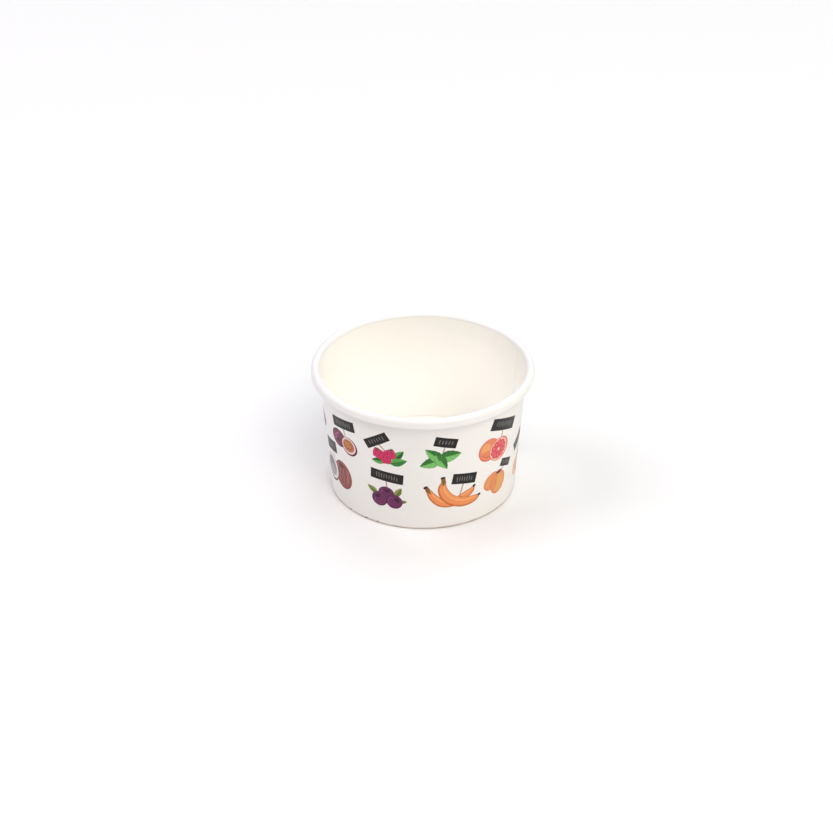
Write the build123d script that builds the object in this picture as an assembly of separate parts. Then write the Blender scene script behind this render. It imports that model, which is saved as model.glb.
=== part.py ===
"""Paper dessert cup.

Two pieces of coated board make the cup. The sidewall is one blank, wrapped into a cone, lapped and sealed down
its side, rolled outward into a rim at the top and folded in and up at the foot. The floor is one round blank
with its edge pressed down into a skirt, which the wall and its folded hem hold between them.

Millimetres. The origin is the middle of the foot, on the surface that the cup stands on, with +Z up. The side
seam faces seam_angle, measured about +Z from +X.
"""

import os
from math import atan, cos, degrees, radians, sin, tan

from build123d import *

# Driving dimensions
rim_diameter = 88.0  # outside of the rolled rim
cup_height = 53.4  # from the surface it stands on to the top of the rolled rim
foot_diameter = 74.0  # outside of the wall, carried down to the surface it stands on
wall_board = 0.36  # sidewall board with its coating
floor_board = 0.32  # floor board with its coating

roll_width = 3.45  # rolled rim, from the wall's inner face to the outermost face
roll_height = 4.30  # rolled rim, from its top to its underside
roll_tail_run = 0.60  # straight stretch of the blank's top edge, tucked up inside the roll
roll_tail_bend = 0.26  # inner radius of that edge's last curl, where the lap doubles the board
roll_tail_turn = 120.0  # degrees that the last curl turns

lap_width = 7.0  # how far the blank's outer end covers its inner end
lap_ramp = 2.1  # width over which the outer end comes down beside the inner end
lap_fade_top = 2.4  # height above which the lap has its full thickness
lap_fade_foot = 0.8  # height below which the foot's press has flattened the lap
seam_angle = 20.0  # degrees about +Z from +X to the inner end's cut edge

hem_height = 5.9  # top edge of the hem that is folded up inside the foot
fold_bend = 0.02  # inner radius at each corner of the fold
floor_height = 7.0  # upper face of the floor
floor_bend = 0.30  # inner radius between the floor and its skirt
skirt_end_gap = 0.35  # between the skirt's edge and the inside of the fold

seal_gap = 0.02  # between boards that are sealed face to face
tuck_gap = 0.04  # between the roll's tucked edge and the lap that passes it

# Sizes that follow
rim_radius = rim_diameter / 2
foot_radius = foot_diameter / 2
roll_radius = (roll_width - wall_board) / 2
tail_clearance = 2 * wall_board + tuck_gap
under_roll_radius = roll_radius - tail_clearance / 2
roll_straight = roll_height - wall_board - roll_radius - under_roll_radius
crown_height = cup_height - wall_board / 2 - roll_radius
wall_lean = atan((rim_radius - roll_width + wall_board - foot_radius) / crown_height)
lean_degrees = degrees(wall_lean)
half_wall = wall_board / 2
fold_radius = fold_bend + half_wall
roll_tail_radius = roll_tail_bend + half_wall + wall_board
skirt_inset = half_wall + seal_gap + floor_board / 2
hem_inset = 2 * skirt_inset
lap_degrees = degrees(lap_width / foot_radius)
ramp_degrees = degrees(lap_ramp / foot_radius)


def wall_middle(height, inset=0.0):
    """Radius of the wall's middle line at a height, or of a line that runs inset inside it."""
    return foot_radius + height * tan(wall_lean) - (half_wall + inset) / cos(wall_lean)


class BoardPath:
    """A board's middle line in the radius-height plane, drawn from a start point as runs and turns."""

    def __init__(self, radius, height, heading):
        self.place = (radius, height)
        self.heading = radians(heading)
        self.pieces = []

    def run(self, length, shift_start=1.0, shift_end=1.0):
        """Goes straight on. The two shares say how much of a section's shift the run's ends take."""
        start, way = self.place, self.heading
        self.place = (start[0] + length * cos(way), start[1] + length * sin(way))
        self.pieces.append(("run", start, self.place, way, shift_start, shift_end))
        return self

    def turn(self, radius, angle, shift=1.0):
        """Turns by an angle in degrees, to the left if it is positive."""
        side = 1 if angle > 0 else -1
        start, way = self.place, self.heading
        centre = (start[0] - side * radius * sin(way), start[1] + side * radius * cos(way))
        self.heading = way + radians(angle)
        self.place = (
            centre[0] + side * radius * sin(self.heading),
            centre[1] - side * radius * cos(self.heading),
        )
        self.pieces.append(("turn", centre, radius, side, way, self.heading, shift))
        return self

    def edges(self, offset, shift=0.0):
        """The path's edges, moved to its right by offset, and by each piece's own share of shift."""
        made = []
        for kind, *piece in self.pieces:
            if kind == "run":
                start, end, way, first, last = piece
                corners = [
                    (x + (offset + part * shift) * sin(way), z - (offset + part * shift) * cos(way))
                    for (x, z), part in ((start, first), (end, last))
                ]
                made.append(Edge.make_line(*(on_section(*corner) for corner in corners)))
            else:
                centre, radius, side, way, heading, part = piece
                reach = radius + side * (offset + part * shift)
                points = [
                    on_section(centre[0] + side * reach * sin(at), centre[1] - side * reach * cos(at))
                    for at in (way, (way + heading) / 2, heading)
                ]
                made.append(Edge.make_three_point_arc(*points))
        return made


def on_section(radius, height):
    """A point of the radius-height plane, at angle 0 about the cup's axis."""
    return Vector(radius, 0, height)


def band(right, left):
    """The face between two matching rows of edges."""
    start_cap = Edge.make_line(left[0] @ 0, right[0] @ 0)
    end_cap = Edge.make_line(right[-1] @ 1, left[-1] @ 1)
    return Face(Wire([start_cap, *right, end_cap, *reversed(left)]))


def turned(face, angle):
    """A section face, set at an angle about the cup's axis."""
    return Rot(0, 0, angle) * face


def wall_path():
    """The sidewall from the hem's top edge, round the foot and up the wall, to the edge inside the roll."""
    hem_foot = half_wall + fold_radius * (1 + sin(wall_lean))
    wall_foot = half_wall + fold_radius * (1 - sin(wall_lean))
    path = BoardPath(wall_middle(hem_height, hem_inset), hem_height, -90 - lean_degrees)
    path.run((hem_height - hem_foot) / cos(wall_lean), 0, 0)
    path.turn(fold_radius, 90 + lean_degrees, 0)
    flat_end = wall_middle(wall_foot) - fold_radius * cos(wall_lean)
    path.run(flat_end - path.place[0], 0, 0)
    path.turn(fold_radius, 90 - lean_degrees, 0)
    path.run((lap_fade_foot - path.place[1]) / cos(wall_lean), 0, 0)
    path.run((lap_fade_top - lap_fade_foot) / cos(wall_lean), 0, 1)
    path.run((crown_height + roll_radius * sin(wall_lean) - lap_fade_top) / cos(wall_lean))
    path.turn(roll_radius, lean_degrees - 180)
    path.run(roll_straight)
    path.turn(under_roll_radius, -180 - lean_degrees)
    path.run(roll_tail_run)
    path.turn(roll_tail_radius, -roll_tail_turn)
    return path


def make_wall():
    """The sidewall blank, with its rolled rim, side lap and folded hem."""
    path = wall_path()
    food_face, print_face = path.edges(-half_wall), path.edges(half_wall)
    lapped_food = path.edges(-half_wall, wall_board)
    lapped_print = path.edges(half_wall, wall_board)
    first_lapped = 5  # the pieces before this one are the hem, the fold and the wall's pressed foot
    single = band(print_face, food_face)
    lifted = band(lapped_print, lapped_food)
    on_lap = band_over(lapped_print[first_lapped:], print_face[first_lapped:])
    ring = revolve(turned(single, seam_angle + ramp_degrees), Axis.Z, 360 - ramp_degrees)
    ramp = loft([turned(lifted, seam_angle), turned(single, seam_angle + ramp_degrees)], ruled=True)
    outer_end = revolve(turned(on_lap, seam_angle - lap_degrees), Axis.Z, lap_degrees)
    return ring + ramp + outer_end


def band_over(right, left):
    """The face between two rows of edges that start from one point."""
    end_cap = Edge.make_line(right[-1] @ 1, left[-1] @ 1)
    return Face(Wire([*right, end_cap, *reversed(left)]))


def make_floor():
    """The floor blank: a flat disc with its edge pressed down into a skirt."""
    middle_height = floor_height - floor_board / 2
    bend_radius = floor_bend + floor_board / 2
    bend = 90 + lean_degrees
    corner_radius = wall_middle(middle_height, skirt_inset)
    flat = corner_radius - bend_radius * tan(radians(bend / 2))
    path = BoardPath(0, middle_height, 0).run(flat).turn(bend_radius, -bend)
    path.run((path.place[1] - wall_board - skirt_end_gap) / cos(wall_lean))
    return revolve(band(path.edges(floor_board / 2), path.edges(-floor_board / 2)), Axis.Z, 360)


os.makedirs("parts", exist_ok=True)
export_step(make_wall(), "parts/cup_wall.step")
export_step(make_floor(), "parts/cup_floor.step")
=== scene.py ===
"""Paper dessert cup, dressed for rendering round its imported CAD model.

The cup is two pieces of coated board. The sidewall is one blank, printed on its outside with two rows of
fruit, wrapped into a cone, lapped down its side, rolled outward at the top and folded in and up at the foot.
The floor is a disc with its edge pressed down into a skirt. Both are built here as closed sheets with the CAD
model's own sections, and each stands for its CAD node.

Sizes are millimetres unless a name or docstring says otherwise, and meshes are written in metres. Angles
round the cup are degrees to the right of the front, which faces -Y.
"""

import logging
import math
import random
from bisect import bisect_right
from collections.abc import Iterable, Sequence
from dataclasses import dataclass, field
from enum import Enum
from itertools import accumulate, pairwise, product
from typing import NamedTuple

import bpy
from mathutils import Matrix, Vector
from mathutils.geometry import delaunay_2d_cdt

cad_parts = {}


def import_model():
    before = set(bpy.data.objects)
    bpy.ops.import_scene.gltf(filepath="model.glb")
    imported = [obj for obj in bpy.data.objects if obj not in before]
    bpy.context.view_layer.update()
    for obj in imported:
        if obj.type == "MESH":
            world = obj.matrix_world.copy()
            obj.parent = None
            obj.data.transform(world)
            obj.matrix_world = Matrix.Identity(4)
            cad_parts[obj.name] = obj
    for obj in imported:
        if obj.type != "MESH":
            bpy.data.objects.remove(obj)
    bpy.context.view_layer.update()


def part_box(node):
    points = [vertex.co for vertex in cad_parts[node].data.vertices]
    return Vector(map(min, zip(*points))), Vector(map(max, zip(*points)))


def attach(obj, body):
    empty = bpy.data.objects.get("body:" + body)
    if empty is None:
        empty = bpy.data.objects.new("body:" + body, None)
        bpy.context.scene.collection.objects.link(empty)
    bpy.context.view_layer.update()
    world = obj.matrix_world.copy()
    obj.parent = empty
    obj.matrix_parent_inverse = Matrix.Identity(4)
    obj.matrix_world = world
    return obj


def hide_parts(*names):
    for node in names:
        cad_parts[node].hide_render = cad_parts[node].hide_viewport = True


log = logging.getLogger("dessert_cup")

MM = 0.001
INK_ATTRIBUTE = "Ink"
BAKE_MAP = "OFBake"
SHEEN = 0.022
INK_GAIN = 1.03
DARKEST_INK = 0.003
OPEN_STEPS = 5
CLOSED_STEPS = 4
THINNEST_LINE = 0.02
NEAR = 1e-4
ROUNDING = 1e-6

Point = tuple[float, float]
Colour = tuple[float, float, float]
Cover = tuple[float, float, float, float]
Corner = tuple[int, Vector, Point]
Spot = tuple[int, int]


def linear(red: float, green: float, blue: float) -> Colour:
    """A colour given as 0 to 255 display values, as linear light."""
    shares = (value / 255 for value in (red, green, blue))
    return tuple(share / 12.92 if share <= 0.04045 else ((share + 0.055) / 1.055) ** 2.4 for share in shares)


def smooth(share: float) -> float:
    """An eased step: 0 below 0, 1 above 1, and level at both ends."""
    share = min(1.0, max(0.0, share))
    return share * share * (3 - 2 * share)


def smooth_rate(share: float) -> float:
    """How fast smooth() rises at a share."""
    return 6 * share * (1 - share) if 0 < share < 1 else 0.0


class Ink(Enum):
    """The inks of the printed sheet, as 0 to 255 display values."""

    SLATE = (44, 43, 42)
    SLATE_EDGE = (30, 29, 29)
    SLATE_DUST = (54, 53, 52)
    CHALK = (138, 136, 133)
    STICK = (196, 176, 164)
    STICK_SHADE = (160, 136, 124)
    BANANA = (238, 152, 96)
    BANANA_LIGHT = (243, 170, 110)
    BANANA_SHADE = (218, 122, 70)
    BANANA_LINE = (172, 82, 46)
    BANANA_STEM = (122, 104, 58)
    TIP = (44, 36, 30)
    MINT = (84, 152, 76)
    MINT_DARK = (58, 116, 56)
    MINT_LIGHT = (124, 194, 112)
    BERRY = (200, 52, 98)
    BERRY_DARK = (152, 26, 66)
    BERRY_LIGHT = (222, 86, 130)
    LEAF = (58, 132, 64)
    LEAF_DARK = (38, 96, 48)
    LEAF_LIGHT = (98, 172, 84)
    PLUM = (112, 54, 96)
    PLUM_DARK = (82, 38, 72)
    PLUM_LIGHT = (132, 70, 114)
    PLUM_CROWN = (62, 34, 56)
    OLIVE = (112, 126, 60)
    OLIVE_LIGHT = (146, 158, 86)
    OLIVE_DARK = (92, 102, 52)
    PASSION = (122, 52, 80)
    PASSION_DARK = (86, 34, 56)
    PASSION_LIGHT = (162, 92, 122)
    PASSION_PITH = (234, 200, 200)
    PASSION_PULP = (186, 112, 66)
    PASSION_GLOW = (206, 134, 78)
    SEED = (66, 40, 32)
    CITRUS = (230, 136, 100)
    CITRUS_LIGHT = (236, 164, 110)
    CITRUS_BLUSH = (216, 106, 90)
    CITRUS_PITH = (242, 206, 188)
    CITRUS_FLESH = (218, 84, 96)
    CITRUS_SHINE = (234, 124, 130)
    APRICOT = (230, 146, 96)
    APRICOT_LIGHT = (228, 166, 98)
    APRICOT_SHADE = (212, 116, 74)
    APRICOT_BLUSH = (186, 62, 72)
    COCONUT = (152, 84, 78)
    COCONUT_DARK = (106, 56, 52)
    COCONUT_LIGHT = (172, 108, 106)
    COCONUT_FLESH = (228, 225, 221)
    COCONUT_HOLLOW = (168, 166, 167)
    COCONUT_DEEP = (138, 136, 138)
    FIG = (146, 106, 124)
    FIG_DARK = (118, 82, 102)
    FIG_LIGHT = (198, 160, 168)
    FIG_FLESH = (214, 120, 120)
    FIG_PITH = (232, 204, 190)
    PEACH = (234, 194, 166)
    PEACH_LIGHT = (216, 172, 138)
    PEACH_BLUSH = (216, 142, 122)
    STRAWBERRY = (214, 62, 66)
    STRAWBERRY_DARK = (172, 34, 48)
    STRAWBERRY_LIGHT = (234, 110, 104)
    STRAWBERRY_SEED = (248, 214, 140)
    KIWI_SKIN = (120, 92, 58)
    KIWI = (134, 178, 66)
    KIWI_LIGHT = (176, 208, 108)
    KIWI_CORE = (236, 238, 196)

    def corner(self) -> Cover:
        """The ink as a mesh colour: linear light less what the coating's sheen adds, with full cover."""
        red, green, blue = (max(DARKEST_INK, INK_GAIN * value - SHEEN) for value in linear(*self.value))
        return red, green, blue, 1.0


BARE = (1.0, 1.0, 1.0, 0.0)
LEAF_INKS = (Ink.LEAF_LIGHT, Ink.LEAF_DARK, Ink.LEAF)
OLIVE_INKS = (Ink.OLIVE_LIGHT, Ink.OLIVE, Ink.OLIVE_DARK)


@dataclass(frozen=True)
class Patch:
    """A closed flat patch of one ink on the unrolled sheet: its corners, counter-clockwise, and its ink."""

    outline: tuple[Point, ...]
    ink: Ink


def turned_left(outline: Sequence[Point]) -> tuple[Point, ...]:
    """The same outline, put counter-clockwise."""
    area = sum(a[0] * b[1] - b[0] * a[1] for a, b in zip(outline, [*outline[1:], outline[0]]))
    return tuple(outline if area > 0 else reversed(outline))


def hermite(at: float, before: float, start: float, end: float, after: float) -> float:
    """One coordinate of a smooth line between start and end, at a share of the way."""
    leave, arrive, rest = (end - before) / 2, (after - start) / 2, 1 - at
    there = start * (1 + 2 * at) * rest * rest + end * (3 - 2 * at) * at * at
    return there + leave * at * rest * rest - arrive * at * at * rest


def smooth_line(knots: Sequence[Point], steps: int) -> list[Point]:
    """A smooth line from the second knot up to the last but one, which it leaves out."""
    return [
        tuple(hermite(step / steps, *values) for values in zip(*four))
        for four in zip(knots, knots[1:], knots[2:], knots[3:])
        for step in range(steps)
    ]


def spline(points: Sequence[Point]) -> list[Point]:
    """A smooth open line through two points or more."""
    return [*smooth_line([points[0], *points, points[-1]], OPEN_STEPS), tuple(points[-1])]


def loop(points: Sequence[Point]) -> list[Point]:
    """A smooth closed outline through points."""
    return smooth_line([points[-1], *points, points[0], points[1]], CLOSED_STEPS)


@dataclass(frozen=True)
class Pen:
    """Lays patches of ink on the unrolled sheet, in millimetres about its own origin.

    Attributes:
        patches: the sheet's patches so far, the later over the earlier.
        x, y: the pen's origin on the sheet.
        turn: degrees that its x axis is turned to the left.
        scale: sheet millimetres for each of its own.
        taper: sheet millimetres along the sheet for each that a motif is wide, as the cone narrows downward.
    """

    patches: list[Patch]
    x: float
    y: float
    turn: float = 0.0
    scale: float = 1.0
    taper: float = 1.0

    def on_sheet(self, x: float, y: float) -> Point:
        """A point of the pen's own, on the sheet."""
        turn = math.radians(self.turn)
        along = self.scale * (x * math.cos(turn) - y * math.sin(turn))
        up = self.scale * (x * math.sin(turn) + y * math.cos(turn))
        return self.x + along * self.taper, self.y + up

    def moved(self, x: float, y: float, turn: float = 0.0, scale: float = 1.0) -> "Pen":
        """A pen with its origin at a point of this one's, turned and scaled further."""
        return Pen(self.patches, *self.on_sheet(x, y), self.turn + turn, self.scale * scale, self.taper)

    def fill(self, outline: Iterable[Point], ink: Ink) -> None:
        """Fills an outline."""
        self.patches.append(Patch(turned_left([self.on_sheet(*point) for point in outline]), ink))

    def oval(
        self, x: float, y: float, wide: float, high: float, ink: Ink, turn: float = 0.0, corners: int = 28
    ) -> None:
        """Fills an ellipse of given half width and half height about a point, turned to the left."""
        angles = (2 * math.pi * step / corners for step in range(corners))
        self.moved(x, y, turn).fill([(wide * math.cos(a), high * math.sin(a)) for a in angles], ink)

    def ovals(self, *rows: tuple) -> None:
        """Fills ellipses one after another, each given as oval takes it."""
        for row in rows:
            self.oval(*row)

    def blob(self, points: Sequence[Point], ink: Ink) -> None:
        """Fills a smooth closed outline through points."""
        self.fill(loop(points), ink)

    def ribbon(
        self, points: Sequence[Point], widths: Sequence[float], ink: Ink, grow: float = 0.0, side: float = 0.0
    ) -> None:
        """Fills a band along a smooth line.

        Args:
            points: what the band's middle passes through.
            widths: the band's half width at each of them.
            ink: what fills it.
            grow: added to each half width.
            side: how far the band is moved to the left of its line, as a share of its half width.
        """
        middle = spline([(*point, width) for point, width in zip(points, widths)])
        left, right = [], []
        for index, (x, y, half_width) in enumerate(middle):
            before, after = middle[max(0, index - 1)], middle[min(len(middle) - 1, index + 1)]
            along = Vector((after[0] - before[0], after[1] - before[1])).normalized()
            shift, half = side * half_width, max(THINNEST_LINE, half_width + grow)
            for edge, reach in ((left, shift + half), (right, shift - half)):
                edge.append((x - along.y * reach, y + along.x * reach))
        self.fill([*left, *reversed(right)], ink)

    def leaf(
        self, base: Point, tip: Point, wide: float, left: Ink, right: Ink, vein: Ink, teeth: int = 0
    ) -> None:
        """Draws a leaf as two halves and a midrib.

        Args:
            base, tip: where the leaf starts and ends.
            wide: from the midrib to the widest part of the edge.
            left, right: the halves to the left and right of the way from base to tip.
            vein: the midrib and side veins.
            teeth: notches along each edge.
        """
        length = math.dist(base, tip)
        pen = self.moved(*base, math.degrees(math.atan2(tip[1] - base[1], tip[0] - base[0])))
        steps = 6 * max(teeth, 3)
        for side, ink in ((1, left), (-1, right)):
            edge = []
            for step in range(1, steps):
                at = step / steps
                notch = 0.10 * (step % 6) / 6 if teeth else 0.0
                edge.append((length * at, side * wide * (math.sin(math.pi * at**0.8) ** 0.9) * (1 - notch)))
            pen.fill([(0, 0), *edge, (length, 0)], ink)
        pen.ribbon([(0, 0), (length * 0.5, 0), (length * 0.96, 0)], [0.16, 0.10, 0.03], vein)
        for at, side in product((0.25, 0.45, 0.65), (1, -1)):
            end = (length * (at + 0.13), side * 0.72 * wide * math.sin(math.pi * (at + 0.12)))
            pen.ribbon([(length * at, side * 0.05), end], [0.06, 0.03], vein)

    def sign(
        self, x: float, y: float, width: float, height: float, turn: float, foot: Point, marks: int
    ) -> None:
        """Draws a blank slate sign on its stick, with a row of plain chalk strokes.

        Args:
            x, y: the slate's middle.
            width, height: the slate's sides.
            turn: degrees that it is turned to the left.
            foot: the stick's lower end.
            marks: how many strokes.
        """
        lean = math.radians(turn)
        neck = (x + 0.3 * height * math.sin(lean), y - 0.3 * height * math.cos(lean))
        self.ribbon([neck, foot], [0.32, 0.27], Ink.STICK_SHADE)
        self.ribbon([neck, foot], [0.20, 0.15], Ink.STICK)
        slate = self.moved(x, y, turn)
        for inset, ink in ((0.0, Ink.SLATE_EDGE), (0.28, Ink.SLATE)):
            across, up = width / 2 - inset, height / 2 - inset
            slate.fill([(-across, -up), (across, -up), (across, up), (-across, up)], ink)
        slate.oval(-0.16 * width, 0.05 * height, 0.22 * width, 0.24 * height, Ink.SLATE_DUST)
        slate.oval(0.20 * width, -0.04 * height, 0.17 * width, 0.20 * height, Ink.SLATE_DUST)
        span = 0.70 * width
        dice = random.Random(f"{x:.1f} {y:.1f} {width:.1f}")
        for mark in range(marks):
            place = -span / 2 + span * (mark + 0.5) / marks
            rise, slant = 0.22 * height * dice.uniform(0.8, 1.1), dice.uniform(-0.12, 0.12)
            drop = dice.uniform(-0.06, 0.06) * height
            stroke = [(place - slant, drop - rise), (place + slant, drop + rise)]
            slate.ribbon(stroke, [0.10, 0.12], Ink.CHALK)


class Fruit:
    """The fruit of the printed sheet. Each method draws one motif about the pen's origin."""

    @staticmethod
    def banana(
        pen: Pen, middle: Sequence[Point], widths: Sequence[float], stem: Sequence[Point], tip: Point
    ) -> None:
        """Draws one banana.

        Args:
            pen: what draws it.
            middle: its middle line, from the stem to the tip.
            widths: its half width at each of those points.
            stem: the stem's line, from the body outward.
            tip: the dried blossom end.
        """
        pen.ribbon(stem, [1.05, 0.86, 0.90], Ink.BANANA_LINE)
        pen.ribbon(stem, [0.95, 0.72, 0.76], Ink.BANANA_STEM)
        lean = math.degrees(math.atan2(stem[-1][1] - stem[0][1], stem[-1][0] - stem[0][0]))
        pen.oval(*stem[-1], 0.55, 0.95, Ink.TIP, lean)
        pen.ribbon(middle, widths, Ink.BANANA_LINE, 0.12)
        pen.ribbon(middle, widths, Ink.BANANA_SHADE, -0.06, 0.02)
        pen.ribbon(middle, widths, Ink.BANANA, -0.36, 0.16)
        inner = middle[1:-1]
        pen.ribbon(inner, [width * 0.24 for width in widths[1:-1]], Ink.BANANA_LIGHT, side=1.5)
        pen.ribbon(inner, [0.07] * len(inner), Ink.BANANA_SHADE)
        pen.ribbon([stem[1], stem[0], middle[1]], [0.72, 0.50, 0.04], Ink.BANANA_STEM)
        pen.ribbon([stem[-1], stem[1], stem[0]], [0.10, 0.14, 0.03], Ink.BANANA_LINE, side=2.0)
        pen.oval(*tip, 0.76, 0.60, Ink.TIP, 30)

    @classmethod
    def bananas(cls, pen: Pen) -> None:
        """Three bananas, with their sign."""
        pen.sign(4.5, 5.8, 10.3, 4.9, -9.5, (2.7, -2.0), 7)
        for banana in (
            ([(-9.7, 1.9), (-8.9, 0.1), (-7.5, -1.9), (-5.2, -4.0), (-2.4, -5.2), (0.6, -5.7)],
             [0.95, 1.30, 1.66, 1.74, 1.45, 0.8], [(-9.8, 1.6), (-10.4, 2.9), (-11.0, 3.7)], (0.9, -5.6)),
            ([(2.2, -3.2), (4.0, -2.7), (6.0, -1.9), (7.8, -0.7), (8.7, 0.7)],
             [1.1, 1.5, 1.6, 1.25, 0.45], [(2.4, -3.0), (1.4, -3.5), (0.4, -4.0)], (8.9, 1.05)),
            ([(-4.0, 5.2), (-4.4, 3.7), (-4.3, 1.9), (-3.3, -0.5), (-0.9, -3.2), (3.3, -5.2), (6.9, -5.5),
              (9.6, -5.1), (11.3, -4.3)],
             [0.98, 1.42, 1.84, 2.10, 2.25, 2.15, 1.95, 1.5, 0.6],
             [(-4.0, 5.0), (-4.1, 6.5), (-4.3, 7.8)], (11.6, -4.1)),
        ):
            cls.banana(pen, *banana)

    @staticmethod
    def mint(pen: Pen) -> None:
        """A sprig of four mint leaves, with its sign."""
        pen.sign(1.9, 7.2, 9.1, 4.4, -14.5, (0.7, 1.2), 5)
        for base, tip, wide, left, right in (
            ((0.2, -0.4), (-8.2, -3.5), 2.45, Ink.MINT_LIGHT, Ink.MINT_DARK),
            ((-0.8, 0.2), (8.3, 1.4), 2.7, Ink.MINT_DARK, Ink.MINT_LIGHT),
            ((1.2, -1.6), (-6.1, 4.6), 2.3, Ink.MINT_LIGHT, Ink.MINT_DARK),
            ((-1.9, 1.9), (2.7, -5.2), 2.2, Ink.MINT_DARK, Ink.MINT_LIGHT),
        ):
            pen.leaf(base, tip, wide + 0.12, Ink.MINT_DARK, Ink.MINT_DARK, Ink.MINT_DARK, 5)
            pen.leaf(base, tip, wide, left, right, Ink.MINT, 5)
        for turn in (70, 160, 250, 340):
            pen.moved(-0.2, 0.2, turn).leaf((0, 0), (1.5, 0), 0.5, Ink.MINT_DARK, Ink.MINT, Ink.MINT_DARK)

    @staticmethod
    def raspberry(pen: Pen, x: float, y: float, turn: float, length: float) -> None:
        """One raspberry: a cone of drupelets about a point, pointing down when turn is 0."""
        berry = pen.moved(x, y, turn)
        half = 2.15
        right = [(1.2, 2.0), (half, 0.9), (1.7, -length * 0.5)]
        left = [(-1.7, -length * 0.5), (-half, 0.9), (-1.2, 2.0)]
        berry.blob([*left[1:], *right, (0, -length), left[0]], Ink.BERRY_DARK)
        for row in range(5):
            level = 1.35 - row * (1.35 + length - 0.55) / 4
            reach = half * math.sqrt(max(0.12, 1 - ((level - 0.4) / (length + 0.9)) ** 2)) - 0.45
            count = 4 if row % 2 == 0 else 3
            for index in range(count):
                place = reach * (2 * index / (count - 1) - 1)
                berry.oval(place, level, 0.72, 0.64, Ink.BERRY, corners=12)
                berry.oval(place - 0.16, level + 0.18, 0.26, 0.20, Ink.BERRY_LIGHT, corners=8)

    @classmethod
    def raspberries(cls, pen: Pen) -> None:
        """Three raspberries on leaves, with their sign."""
        pen.sign(-3.2, 6.6, 11.3, 4.1, 33.0, (0.9, 2.0), 6)
        pen.leaf((3.4, -1.0), (7.9, 3.7), 1.7, *LEAF_INKS, 4)
        pen.leaf((2.2, -2.9), (9.2, -0.7), 1.95, Ink.LEAF_LIGHT, Ink.LEAF, Ink.LEAF_DARK, 5)
        pen.leaf((0.2, -2.6), (-5.7, -2.9), 1.5, *LEAF_INKS, 4)
        for berry in ((-2.5, 0.9, -22, 2.4), (2.4, 1.5, 26, 2.4), (0.6, -0.9, 4, 2.5)):
            cls.raspberry(pen, *berry)
        for turn in (50, 90, 130):
            for crown in (pen.moved(-2.9, 2.7, turn), pen.moved(2.9, 3.4, turn - 30)):
                crown.ribbon([(-0.5, 0), (0.9, 0)], [0.30, 0.05], Ink.LEAF_DARK)

    @staticmethod
    def plum(pen: Pen, x: float, y: float, radius: float, turn: float) -> None:
        """One round purple berry with its crown, turned by degrees to the left."""
        berry = pen.moved(x, y, turn, radius / 3.3)
        berry.ovals(
            (0, 0, 3.3, 3.3, Ink.PLUM_DARK, 0, 36),
            (0.05, 0.1, 3.05, 3.05, Ink.PLUM, 0, 36),
            (-0.9, -0.5, 1.5, 1.9, Ink.PLUM_LIGHT, 20),
            (-0.7, -0.6, 1.25, 1.65, Ink.PLUM, 20),
            (0.2, 1.35, 1.30, 0.85, Ink.PLUM_DARK),
        )
        star = []
        for step in range(10):
            reach, angle = 0.5 if step % 2 else 1.0, math.pi * step / 5 + 0.3
            star.append((0.2 + reach * math.cos(angle), 1.35 + 0.66 * reach * math.sin(angle)))
        berry.fill(star, Ink.PLUM_CROWN)

    @classmethod
    def plums(cls, pen: Pen) -> None:
        """Three purple berries on olive leaves, with their sign."""
        pen.sign(0.2, 9.7, 13.4, 4.7, -4.4, (0.0, 4.0), 9)
        pen.leaf((-3.9, 0.9), (-8.4, 3.5), 1.4, Ink.OLIVE, Ink.OLIVE_LIGHT, Ink.OLIVE_DARK, 4)
        pen.leaf((3.4, 0.7), (6.1, 5.2), 1.4, *OLIVE_INKS, 4)
        pen.leaf((5.2, -1.6), (8.2, -1.1), 0.9, *OLIVE_INKS, 3)
        for x, y, turn in ((-0.2, 1.4, 0), (-3.2, -1.7, 40), (3.0, -1.8, -40)):
            cls.plum(pen, x, y, 3.4, turn)

    @staticmethod
    def passion_fruit(pen: Pen) -> None:
        """A whole passion fruit and a cut half, with their sign."""
        pen.sign(0.0, 8.6, 13.6, 4.6, 9.5, (1.2, 3.2), 9)
        pen.ovals(
            (-3.4, 0.6, 4.8, 4.0, Ink.PASSION_DARK),
            (-3.7, 0.6, 4.35, 3.6, Ink.PASSION),
            (-5.0, 1.5, 2.2, 0.34, Ink.PASSION_LIGHT, 34),
            (-4.0, 2.6, 1.9, 0.24, Ink.PASSION_LIGHT, 34),
            (-5.6, -0.2, 1.9, 0.26, Ink.PASSION_LIGHT, 34),
            (-3.6, -0.4, 1.7, 0.8, Ink.PASSION_DARK, 34),
        )
        half = pen.moved(3.1, -0.6)
        half.ovals(
            (0, 0, 4.5, 4.15, Ink.PASSION_DARK, 0, 36),
            (-0.3, 0.2, 4.0, 3.7, Ink.PASSION_PITH, 0, 36),
            (-0.4, 0.25, 3.2, 2.75, Ink.PASSION_LIGHT, 0, 36),
            (-0.4, 0.25, 3.05, 2.6, Ink.PASSION_PULP, 0, 36),
            (-0.7, 0.5, 2.0, 1.5, Ink.PASSION_GLOW),
        )
        for index in range(9):
            angle = 2 * math.pi * index / 9 + 0.2
            x, y = -0.4 + 1.95 * math.cos(angle), 0.25 + 1.6 * math.sin(angle)
            half.oval(x, y, 0.50, 0.34, Ink.PASSION_GLOW, math.degrees(angle), 12)
            half.oval(x, y, 0.36, 0.21, Ink.SEED, math.degrees(angle), 10)
        for x, y in ((-0.9, 0.3), (0.3, 0.6), (-0.1, -0.6)):
            half.oval(x, y, 0.36, 0.21, Ink.SEED, 35, 10)

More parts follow.
